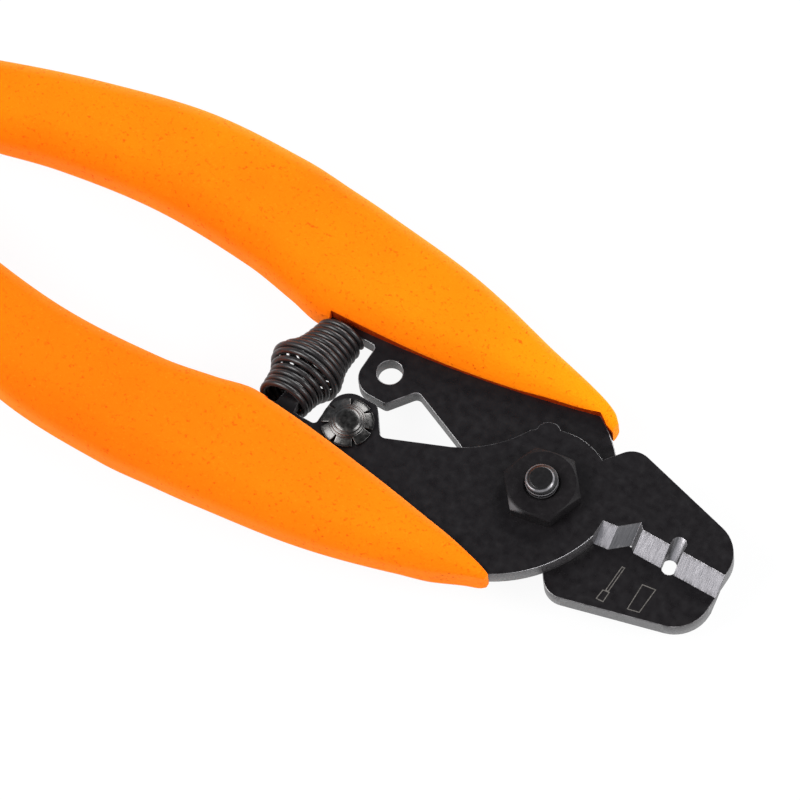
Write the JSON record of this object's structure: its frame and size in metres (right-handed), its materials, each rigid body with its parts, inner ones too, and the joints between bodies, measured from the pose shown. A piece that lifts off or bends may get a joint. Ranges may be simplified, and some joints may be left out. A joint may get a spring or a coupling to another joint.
{
  "type": "fibre jacket stripper",
  "caption": "Plier-style stripper: two crossed steel plates on a pivot with ground notch blades, cushioned bow grips, a barrel spring and a swing latch.",
  "frame": {"origin": "middle of the flat outer face of the pivot screw's hexagon head", "axes": "+X from the pivot to the tip of the jaws, +Y to the side of the front jaw, +Z along the pivot from the screw's head to its nut"},
  "size_m": [0.1328, 0.0522, 0.0132],
  "materials": {
    "blackened_steel": "black oxide, satin",
    "orange_cushion": "matte, finely pitted",
    "black_hardware": "black oxide, semi-gloss",
    "spring_wire": "black, glossy",
    "spring_steel": "dark, polished"
  },
  "bodies": {
    "front_handle": {"front_plate": "blackened_steel", "front_grip": "orange_cushion", "pivot_screw": "black_hardware", "pivot_nut": "black_hardware", "latch_pin": "black_hardware", "latch_spacer": "black_hardware", "push_nut": "spring_steel", "return_spring": "spring_wire"},
    "back_handle": {"back_plate": "blackened_steel", "back_grip": "orange_cushion"},
    "latch": {"latch_lever": "blackened_steel"}
  },
  "joints": [
    {"name": "handle_pivot", "type": "hinge", "parent": "front_handle", "child": "back_handle", "pos_m": [0, 0, 0.00498], "axis": [0, 0, -1], "range_deg": [0, 12], "stiffness_Nm_per_rad": 0.3, "springref_deg": 22.92, "deforming": ["return_spring"]},
    {"name": "latch_swing", "type": "hinge", "parent": "front_handle", "child": "latch", "pos_m": [-0.0276, -0.0051, 0.00165], "axis": [0, 0, 1], "range_deg": [0, 86]}
  ]
}
